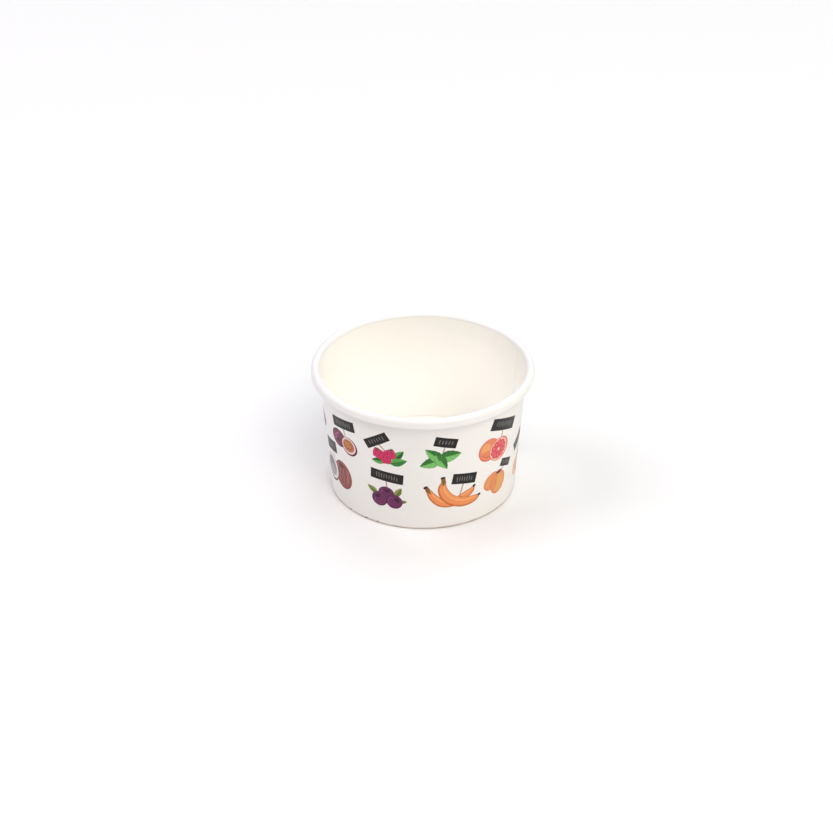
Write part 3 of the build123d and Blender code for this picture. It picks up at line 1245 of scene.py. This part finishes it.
    def station_at(self, up: float) -> Station:
        """The station at a distance up the straight wall."""
        size, low, rest = self.sizes, self.stations[self.first], 1 - self.foot_lift
        height = low.height + up * math.cos(size.lean)
        span = size.lap_fade_top - size.lap_fade_foot
        rate = rest * smooth_rate((height - size.lap_fade_foot) / span) * math.cos(size.lean) / span
        radius = low.radius + up * math.sin(size.lean)
        return Station(radius, height, low.heading, self.foot_lift + rest * size.faded(height), rate)

    def turn_at(self, degrees: float) -> Turn:
        """The place round the cup at a travel from the blank's outer end, on the strip that holds it."""
        index = self.strip_of(degrees)
        first, second = self.turns[index : index + 2]
        share = (degrees - first.travel) / (second.travel - first.travel)
        if abs(share) < NEAR:
            return first
        if abs(share - 1) < NEAR:
            return second
        return Turn(*(start + (end - start) * share for start, end in zip(first, second)))

    def strip_of(self, degrees: float) -> int:
        """The number of the strip that holds a travel in degrees."""
        last = len(self.turns) - 1
        return bisect_right(self.turns, degrees + ROUNDING, 1, last, key=lambda turn: turn.travel) - 1

    def build(self, finishes: Sequence[bpy.types.Material]) -> bpy.types.Object:
        """Builds the wall, with a material for each kind of surface, in the order of Face."""
        last_row, last_column = len(self.stations) - 1, len(self.turns) - 1
        for side, row, column in product(Side, range(last_row + 1), range(last_column + 1)):
            if side is Side.FOOD or not (self.first < row < self.last and 0 < column < last_column):
                point = self.point(side, self.stations[row], self.turns[column])
                self.numbers[side, row, column] = self.board.vertex(point)
        self.add_print()
        for side, row, column in product(Side, range(last_row), range(last_column)):
            printed = side is Side.PRINT
            if printed and self.first <= row < self.last:
                continue
            kind = Face.PRINTED if printed else Face.COATED if row < self.last else Face.ROLLED
            spots = ((row, column), (row, column + 1), (row + 1, column + 1), (row + 1, column))
            # The outside of the foot's fold takes painted contact shade and rubbing.
            ink = self.fold_shade_and_rub(column, self.first - row) if printed else BARE
            self.board.face([self.corner(side, *spot) for spot in spots], kind, ink)
        self.add_edges()
        return self.finish(finishes)

    def fold_shades_and_rubs(self) -> list[tuple[Colour, float]]:
        """The fold's painted shade and rubbing, as colour and strength for each step round the cup."""
        dice = random.Random(self.shade_and_rub_seed)
        rough = [dice.random() for _ in self.turns]
        beside = zip(rough[-1:] + rough, rough, rough[1:] + rough[:1])
        evened = ((before + 2 * here + after) / 4 for before, here, after in beside)
        shades_and_rubs = [(self.shade_and_rub_colour, self.least_shade_and_rub + (1 - self.least_shade_and_rub) * share) for share in evened]
        # Painted shade of the hem's nicks, at a few steps round the cup.
        for angle in self.nick_shade_angles:
            shades_and_rubs[self.strip_of((angle - self.outer_end) % 360)] = (self.nick_shade_colour, self.nick_shade_cover)
        return shades_and_rubs

    def fold_shade_and_rub(self, column: int, below: int) -> Cover:
        """The painted contact shade and rubbing on the outside of the foot's fold and just above it.

        Args:
            column: the step round the cup.
            below: steps from the top of the fold down to the place, and 0 just above the fold.

        Returns:
            The painted band's colour and its cover, which fades out up the fold.
        """
        if not 0 <= below <= self.fold_steps:
            return BARE
        colour, strength = self.shades_and_rubs[column]
        return *linear(*colour), min(1.0, strength * min(1.0, (below + 1) / self.shade_and_rub_fade))

    def add_edges(self) -> None:
        """Closes the board along the hem's edge, the roll's edge and its outer and inner ends."""
        for row, way, area in ((0, -1, HEM_BAKE), (len(self.stations) - 1, 1, ROLL_BAKE)):
            heading = self.stations[row].heading
            rim = []
            for column, turn in enumerate(self.turns):
                facing = off_edge(turn.angle, heading) * way
                rim.append(((row, column), facing, turn.travel / self.wrap))
            self.add_edge(rim, area)
        for column, way, area in ((0, -1, OUTER_END_BAKE), (len(self.turns) - 1, 1, INNER_END_BAKE)):
            facing = round_cup(self.turns[column].angle) * way
            spots = enumerate(self.travelled)
            self.add_edge([((at, column), facing, along / self.travelled[-1]) for at, along in spots], area)


@dataclass
class CupFloor(BoardPiece):
    """The floor: a disc with its edge pressed down into a skirt.

    Attributes:
        steps_round, rings: how finely it is cut round and from its middle to its bend.
        crown: how far its middle bows down.
        swell_reach: how far in from the bend the floor is pressed out beside the wall's inner end.
        swell_shares: places across the wall's ramp where it is cut, the fourth of them past the step.
        least_step: radians between the cuts of the swell and the even ones.
        bend_steps, skirt_steps: how finely the bend and the skirt are cut.
    """

    sizes: CupSizes
    name: str = "coated_floor"
    node: str = "cup_floor"
    slot: str = "floor_board"
    near: Side = Side.FOOD
    far: Side = Side.PRINT
    steps_round: int = 192
    rings: int = 20
    crown: float = 0.22
    swell_reach: float = 3.0
    swell_shares: tuple[float, ...] = (0.0, 0.04, 0.08, 0.12, 1 / 6, 1 / 3, 1 / 2, 2 / 3, 5 / 6, 1.0)
    least_step: float = 0.006
    bend_steps: int = 8
    skirt_steps: int = 4

    def __post_init__(self) -> None:
        """Lays out the floor's section and the places round it where it is cut."""
        self.start(self.section())
        self.edge = self.stations[self.rings].radius
        start, ramp = math.radians(self.sizes.seam_angle - 90), math.radians(self.sizes.ramp_degrees)
        fine = [start + ramp * share for share in self.swell_shares]
        even = [2 * math.pi * step / self.steps_round for step in range(self.steps_round)]
        low, high = fine[0] - self.least_step, fine[-1] + self.least_step
        beside = (angle for angle in even if not low < angle < high)
        self.angles = sorted([*fine, *beside])
        self.angles.append(self.angles[0] + 2 * math.pi)

    def section(self) -> list[Station]:
        """The floor's stations, from the cup's axis to the skirt's edge."""
        size, lean = self.sizes, math.degrees(self.sizes.lean)
        middle = size.floor_height - size.floor_board / 2
        bend = size.floor_bend + size.floor_board / 2
        path = BoardPath(0.0, middle, 0.0)
        corner = size.wall_middle(middle, size.skirt_inset)
        path.run(corner - bend * math.tan(math.radians(90 + lean) / 2), self.rings)
        path.turn(bend, -90 - lean, self.bend_steps)
        skirt = (path.height - size.wall_board - size.skirt_end_gap) / math.cos(size.lean)
        path.run(skirt, self.skirt_steps)
        return path.stations

    def swell(self, angle: float, station: Station) -> float:
        """How far the floor is pressed out at a place, into the channel beside the wall's inner end."""
        size = self.sizes
        share = (math.degrees(angle) - size.seam_angle + 90) / size.ramp_degrees
        rise = smooth(share / self.swell_shares[3]) * (1 - smooth(share))
        inward = smooth((station.radius - self.edge + self.swell_reach) / self.swell_reach)
        return size.lap_lift * rise * inward * size.faded(station.height)

    def point(self, side: Side, row: int, angle: float) -> Vector:
        """A point on one face of the board, which bows down a little towards its middle."""
        station, out = self.stations[row], side.value * self.sizes.floor_board / 2
        sag = self.crown * smooth(1 - station.radius / self.edge) if row <= self.rings else 0.0
        radius = station.radius + out * math.sin(station.heading) + self.swell(angle, station)
        return on_cup(angle, radius, station.height - out * math.cos(station.heading) - sag)

    def corner(self, side: Side, row: int, column: int) -> Corner:
        """A corner of the board's grid: its vertex, normal and bake place."""
        angle = self.angles[column]
        normal = off_face(angle, self.stations[row].heading) * side.value
        left, up = FLOOR_BAKE[side]
        reach = FLOOR_BAKE_RADIUS * self.travelled[row] / self.travelled[-1]
        place = (left + reach * math.cos(angle), up + reach * math.sin(angle))
        return self.numbers[side, row, column], normal, place

    def build(self, finishes: Sequence[bpy.types.Material]) -> bpy.types.Object:
        """Builds the floor, with a material for each kind of surface, in the order of Face."""
        last, steps = len(self.stations) - 1, len(self.angles) - 1
        for side, row in product((self.near, self.far), range(last + 1)):
            angles = self.angles[:-1] if row else self.angles[:1]
            made = [self.board.vertex(self.point(side, row, angle)) for angle in angles]
            for column in range(steps + 1):
                self.numbers[side, row, column] = made[column % len(made)]
        for side, row, column in product((self.near, self.far), range(last), range(steps)):
            spots = [(row + 1, column), (row + 1, column + 1), (row, column + 1), (row, column)]
            if row == 0:
                del spots[2]
            kind = Face.COATED if side is Side.FOOD else Face.PRINTED
            self.board.face([self.corner(side, *spot) for spot in spots], kind)
        down, spots = self.stations[last].heading, enumerate(self.angles)
        self.add_edge([((last, at), off_edge(angle, down), angle) for at, angle in spots], SKIRT_BAKE)
        return self.finish(finishes)


class Number:
    """A number socket that takes part in sums. Each operator adds a Math node."""

    def __init__(self, nodes: "Nodes", socket: bpy.types.NodeSocket) -> None:
        """Wraps a socket of a material's nodes."""
        self.nodes, self.socket = nodes, socket

    def sum(self, operation: str, first: "Number | float", second: "Number | float") -> "Number":
        """The result of a Math node on two values."""
        node = self.nodes.add("ShaderNodeMath", {"operation": operation}, {0: first, 1: second})
        return Number(self.nodes, node.outputs[0])

    def __add__(self, other: "Number | float") -> "Number":
        """self + other."""
        return self.sum("ADD", self, other)

    def __sub__(self, other: "Number | float") -> "Number":
        """self - other."""
        return self.sum("SUBTRACT", self, other)

    def __rsub__(self, other: "Number | float") -> "Number":
        """other - self."""
        return self.sum("SUBTRACT", other, self)

    def __mul__(self, other: "Number | float") -> "Number":
        """self * other."""
        return self.sum("MULTIPLY", self, other)

    __radd__, __rmul__ = __add__, __mul__


class Nodes:
    """A material's nodes."""

    def __init__(self, name: str) -> None:
        """Starts a material with its Principled BSDF."""
        self.material = bpy.data.materials.new(name)
        self.material.use_nodes = True
        self.tree = self.material.node_tree
        self.tree.nodes.clear()
        self.shader = self.tree.nodes.new("ShaderNodeBsdfPrincipled")
        end = self.tree.nodes.new("ShaderNodeOutputMaterial")
        self.tree.links.new(self.shader.outputs[0], end.inputs[0])

    def put(self, node: bpy.types.Node, values: dict) -> None:
        """Sets or links a node's sockets."""
        for key, value in values.items():
            value = value.socket if isinstance(value, Number) else value
            if isinstance(value, bpy.types.NodeSocket):
                self.tree.links.new(value, node.inputs[key])
            else:
                node.inputs[key].default_value = value

    def add(self, kind: str, settings: dict, values: dict) -> bpy.types.Node:
        """Adds a node of a kind, sets its properties and then sets or links its sockets."""
        node = self.tree.nodes.new(kind)
        for key, value in settings.items():
            setattr(node, key, value)
        self.put(node, values)
        return node

    def blend(
        self, factor: "Number | float", first: object, second: object, mode: str = "MIX"
    ) -> bpy.types.NodeSocket:
        """Mixes two colours."""
        settings = {"data_type": "RGBA", "blend_type": mode}
        return self.add("ShaderNodeMix", settings, {0: factor, 6: first, 7: second}).outputs[2]

    def millimetres(self) -> bpy.types.NodeSocket:
        """The object's own coordinates, in millimetres."""
        place = self.add("ShaderNodeTexCoord", {}, {}).outputs["Object"]
        values = {0: place, "Scale": 1 / MM}
        return self.add("ShaderNodeVectorMath", {"operation": "SCALE"}, values).outputs[0]

    def noise(
        self, place: bpy.types.NodeSocket, grain: float, detail: float = 2.0, roughness: float = 0.5
    ) -> Number:
        """Noise of a grain size in millimetres, from 0 to 1."""
        values = {"Vector": place, "Scale": 1 / grain, "Detail": detail, "Roughness": roughness}
        return Number(self, self.add("ShaderNodeTexNoise", {}, values).outputs[0])

    def bump(
        self, height: Number, depth: float, strength: float, **under: bpy.types.NodeSocket
    ) -> bpy.types.NodeSocket:
        """The normal of a surface whose height in shares of a depth in millimetres is given."""
        values = {"Height": height, "Distance": depth * MM, "Strength": strength, **under}
        return self.add("ShaderNodeBump", {}, values).outputs[0]


WAVE_GRAIN, WAVE_DEPTH = 14.0, 0.05
CLOUD_GRAIN, MOTTLE_GRAIN, FIBRE_GRAIN = 9.0, 2.2, 0.35
PLY_GRAIN, PLY_SHADE = 0.12, 0.82
INK_GRAIN, INK_LAY = 0.16, 1.4
HEAVY_INK, PINHOLES = 0.80, 0.016


@dataclass(frozen=True)
class BoardFinish:
    """One face of a coated board.

    Attributes:
        name: the material's name.
        white: the bare board, as linear light.
        cloud: how much its tone drifts from place to place.
        roughness: of the bare face.
        gloss: the shader's specular level.
        fibre_depth: depth of the fibres that show through the coating, in millimetres.
        printed: whether the face carries ink.
        ink_gloss: how much smoother ink is than the bare face.
        streaks: whether the face is a cut edge, with its plies showing.
    """

    name: str
    white: Colour
    cloud: float = 0.02
    roughness: float = 0.45
    gloss: float = 0.28
    fibre_depth: float = 0.012
    printed: bool = False
    ink_gloss: float = 0.08
    streaks: bool = False

    def build(self) -> bpy.types.Material:
        """Makes the material."""
        nodes = Nodes(self.name)
        place = nodes.millimetres()
        cloud = nodes.noise(place, CLOUD_GRAIN, 3.0)
        fibre = nodes.noise(place, FIBRE_GRAIN, 3.0, 0.6)
        mottle = nodes.noise(place, MOTTLE_GRAIN)
        shade = tuple(value * (1 - 2 * self.cloud) for value in self.white)
        tone = nodes.blend(cloud * 0.6 + mottle * 0.4, (*shade, 1.0), (*self.white, 1.0))
        if self.streaks:
            plies = nodes.noise(place, PLY_GRAIN, 4.0, 0.7)
            dark = tuple(value * PLY_SHADE for value in self.white)
            tone = nodes.blend(plies * 0.6, tone, (*dark, 1.0))
        rough = self.roughness + (fibre - 0.5) * 0.10 + (mottle - 0.5) * 0.06
        height = fibre * 0.6 + mottle * 0.4
        if self.printed:
            ink = nodes.add("ShaderNodeAttribute", {"attribute_name": INK_ATTRIBUTE}, {}).outputs
            cover = Number(nodes, ink["Alpha"])
            grain = nodes.noise(place, INK_GRAIN, 2.0, 0.6)
            lay = nodes.noise(place, INK_LAY)
            heavy = nodes.blend(1.0, ink["Color"], (*[HEAVY_INK] * 3, 1.0), "MULTIPLY")
            laid = nodes.blend(lay * 0.5, ink["Color"], heavy)
            tone = nodes.blend(cover, tone, nodes.blend((1 - grain) * PINHOLES, laid, tone))
            rough = rough - cover * self.ink_gloss
        fine = nodes.bump(height, self.fibre_depth, 0.55)
        normal = nodes.bump(nodes.noise(place, WAVE_GRAIN, 1.0), WAVE_DEPTH, 0.35, Normal=fine)
        nodes.put(nodes.shader, {"Base Color": tone, "Roughness": rough, "Normal": normal})
        nodes.put(nodes.shader, {"IOR": 1.47, "Specular IOR Level": self.gloss})
        return nodes.material


FINISHES = (
    BoardFinish("printed_board", (0.88, 0.868, 0.86), printed=True),
    # The coated face is lighter and creamier here, inside the cup, than on the roll: painted light for the
    # light that bounces round inside the cup.
    BoardFinish("coated_board_painted_bright", (0.966, 0.948, 0.908), roughness=0.36, fibre_depth=0.008),
    BoardFinish("cut_board_edge", (0.80, 0.76, 0.69), 0.05, roughness=0.8, fibre_depth=0.03, streaks=True),
    BoardFinish("rolled_rim_board", (0.875, 0.868, 0.866), roughness=0.33, gloss=0.4, fibre_depth=0.006),
)


@dataclass(frozen=True)
class SoftBox:
    """A square soft box that looks at the cup.

    Attributes:
        name: the light's name.
        angle: degrees round the cup, to the right of the front.
        rise: its elevation, in degrees.
        power: in watts.
        colour: its light.
        side, distance: its side and how far off it stands, in metres.
        aim_height: height of the point that it looks at, in metres.
    """

    name: str
    angle: float
    rise: float
    power: float
    colour: Colour
    side: float = 2.0
    distance: float = 3.0
    aim_height: float = 0.03

    def build(self) -> None:
        """Hangs the light."""
        light = bpy.data.lights.new(self.name, "AREA")
        light.shape, light.size, light.energy, light.color = "SQUARE", self.side, self.power, self.colour
        lamp = placed(self.name, light)
        angle, rise = math.radians(self.angle - 90), math.radians(self.rise)
        away = on_cup(angle, math.cos(rise), math.sin(rise)) * self.distance
        lamp.location = Vector((0, 0, self.aim_height)) + away
        lamp.rotation_euler = (-away).to_track_quat("-Z", "Y").to_euler()


SOFT_BOXES = (
    SoftBox("key_box", 45.0, 60.0, 31.0, (0.87, 0.90, 1.0)),
    SoftBox("front_box", 18.0, 40.0, 43.5, (1.0, 0.90, 0.75)),
    SoftBox("right_box", 90.0, 25.0, 18.5, (1.0, 0.97, 0.70)),
    SoftBox("left_box", -90.0, 43.0, 45.0, (1.0, 0.94, 0.97)),
    SoftBox("back_box", 180.0, 60.0, 28.5, (0.97, 0.98, 1.0)),
    SoftBox("back_right_box", 140.0, 40.0, 11.5, (0.97, 0.95, 1.0)),
    SoftBox("overhead_box", 0.0, 89.0, 8.5, (0.60, 0.80, 1.0)),
)


@dataclass(frozen=True)
class Studio:
    """The pale floor, the lights and the camera.

    Attributes:
        camera_height: elevation of the camera above the horizon, in degrees.
        distance: from the camera to the point it is set up on, in metres.
        aim_height: height of that point, in metres.
        lens, sensor: focal length and sensor width.
        aim_left, aim_up: degrees that the camera looks to the left of that point and above it.
        foot_gap: how far the floor lies under the foot, which stands on its seam and high spots.
        reach: from the middle of the floor to its edges, in metres.
        floor, surround: the floor's colour and the surround's light, as linear light.
        surround_strength: how bright the surround is.
    """

    camera_height: float = 31.47
    distance: float = 0.8766
    aim_height: float = 0.02444
    lens: float = 94.8
    sensor: float = 36.0
    aim_left: float = 0.168
    aim_up: float = 0.251
    foot_gap: float = 0.15
    reach: float = 3.0
    floor: Colour = (0.845, 0.845, 0.85)
    surround: Colour = (0.98, 0.99, 1.0)
    surround_strength: float = 0.04

    def build(self) -> None:
        """Builds them all."""
        bpy.context.scene.view_settings.view_transform = "Standard"
        self.add_floor()
        for box in SOFT_BOXES:
            box.build()
        self.add_surround()
        self.add_camera()

    def add_floor(self) -> None:
        """A plain pale floor, just under the cup's foot."""
        mesh = bpy.data.meshes.new("studio_floor")
        corners = [(x * self.reach, y * self.reach, 0) for x, y in ((-1, -1), (1, -1), (1, 1), (-1, 1))]
        mesh.from_pydata(corners, [], [(0, 1, 2, 3)])
        floor = placed("studio_floor", mesh)
        floor.location.z = -self.foot_gap * MM
        nodes = Nodes("studio_sweep")
        nodes.put(nodes.shader, {"Base Color": (*self.floor, 1.0), "Roughness": 0.75})
        mesh.materials.append(nodes.material)

    def add_surround(self) -> None:
        """A dim white surround."""
        world = bpy.data.worlds.new("studio_surround")
        world.use_nodes = True
        surround = world.node_tree.nodes["Background"]
        surround.inputs["Color"].default_value = (*self.surround, 1.0)
        surround.inputs["Strength"].default_value = self.surround_strength
        bpy.context.scene.world = world

    def add_camera(self) -> None:
        """The camera, set up on the cup's middle and turned a little off it."""
        lens = bpy.data.cameras.new("camera")
        lens.sensor_width, lens.lens = self.sensor, self.lens
        lens.clip_start, lens.clip_end = 0.01, 20.0
        camera = placed("camera", lens)
        rise = math.radians(self.camera_height)
        ahead = Vector((0, math.cos(rise), -math.sin(rise)))
        up, right = Vector((0, math.sin(rise), math.cos(rise))), Vector((1, 0, 0))
        camera.location = Vector((0, 0, self.aim_height)) - ahead * self.distance
        look = ahead - right * math.tan(math.radians(self.aim_left))
        look += up * math.tan(math.radians(self.aim_up))
        camera.rotation_euler = look.to_track_quat("-Z", "Y").to_euler()
        bpy.context.scene.camera = camera


def main() -> None:
    logging.basicConfig(level=logging.INFO, format="%(message)s")
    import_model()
    wall_low, wall_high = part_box("cup_wall")
    sizes = CupSizes(
        rim_diameter=round((wall_high.x - wall_low.x) / MM, 1),
        cup_height=round(wall_high.z / MM, 1),
        floor_height=round(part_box("cup_floor")[1].z / MM, 1),
    )
    log.info("rim %.1f, height %.1f, floor %.1f mm", sizes.rim_diameter, sizes.cup_height, sizes.floor_height)
    finishes = [finish.build() for finish in FINISHES]
    Studio().build()
    CupWall(sizes).build(finishes)
    CupFloor(sizes).build(finishes)


if __name__ == "__main__":
    main()
